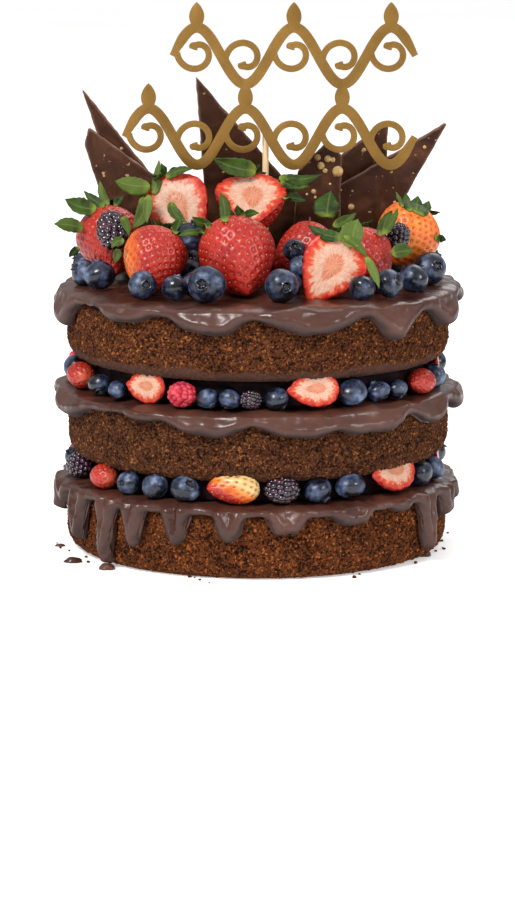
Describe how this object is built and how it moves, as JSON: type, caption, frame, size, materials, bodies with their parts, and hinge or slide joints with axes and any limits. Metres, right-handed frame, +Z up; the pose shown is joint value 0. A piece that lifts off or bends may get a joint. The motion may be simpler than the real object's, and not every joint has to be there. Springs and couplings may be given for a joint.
{
  "type": "naked cake",
  "caption": "Round naked chocolate cake in tiers, with dripping ganache, berries between the tiers, and berries, chocolate shards and a gold scroll topper on top.",
  "frame": {"origin": "centre of the cake's underside, on the surface that it stands on", "axes": "+Z up through the tiers; -Y towards the front, where the topper's face looks; +X to the viewer's right"},
  "size_m": [0.2016, 0.2016, 0.2695],
  "materials": {
    "sponge": "coarse dark chocolate crumb, matte",
    "ganache": "thick chocolate ganache, satin gloss",
    "strawberry": "fresh strawberry with seeds and green leaves, glossy",
    "blueberry": "dark blue skin with pale bloom",
    "bramble": "purple-black drupelets, glossy",
    "berry_filling": "mixed berries squeezed between the tiers",
    "chocolate": "broken dark chocolate sheet with gold pearls",
    "gold_card": "dull gold card",
    "wood_stick": "pale untreated wood"
  },
  "bodies": {
    "root": {"blueberry_back_top": "blueberry", "blueberry_inner_01": "blueberry", "blueberry_inner_02": "blueberry", "blueberry_inner_03": "blueberry", "blueberry_inner_04": "blueberry", "blueberry_inner_05": "blueberry", "blueberry_inner_06": "blueberry", "blueberry_inner_07": "blueberry", "blueberry_rim_01": "blueberry", "blueberry_rim_02": "blueberry", "blueberry_rim_03": "blueberry", "blueberry_rim_04": "blueberry", "blueberry_rim_05": "blueberry", "blueberry_rim_06": "blueberry", "blueberry_rim_07": "blueberry", "blueberry_rim_08": "blueberry", "blueberry_rim_09": "blueberry", "blueberry_rim_10": "blueberry", "blueberry_rim_11": "blueberry", "blueberry_rim_12": "blueberry", "blueberry_rim_13": "blueberry", "blueberry_rim_14": "blueberry", "blueberry_rim_15": "blueberry", "blueberry_rim_16": "blueberry", "blueberry_rim_17": "blueberry", "blueberry_under_01": "blueberry", "blueberry_under_02": "blueberry", "bramble_back": "bramble", "bramble_left": "bramble", "bramble_right": "bramble", "filling_lower": "berry_filling", "filling_upper": "berry_filling", "ganache_bottom": "ganache", "ganache_middle": "ganache", "ganache_top": "ganache", "shard_centre": "chocolate", "shard_left_back": "chocolate", "shard_left_front": "chocolate", "shard_right": "chocolate", "shard_right_back": "chocolate", "shard_right_front": "chocolate", "sponge_bottom": "sponge", "sponge_middle": "sponge", "sponge_top": "sponge", "strawberry_back_left": "strawberry", "strawberry_back_middle": "strawberry", "strawberry_back_right": "strawberry", "strawberry_centre": "strawberry", "strawberry_cut_front": "strawberry", "strawberry_cut_left": "strawberry", "strawberry_cut_top": "strawberry", "strawberry_front_left": "strawberry", "strawberry_front_right": "strawberry", "strawberry_left": "strawberry", "strawberry_middle_right": "strawberry", "strawberry_right": "strawberry", "strawberry_under_top": "strawberry", "topper_card": "gold_card", "topper_stick": "wood_stick"}
  },
  "joints": []
}
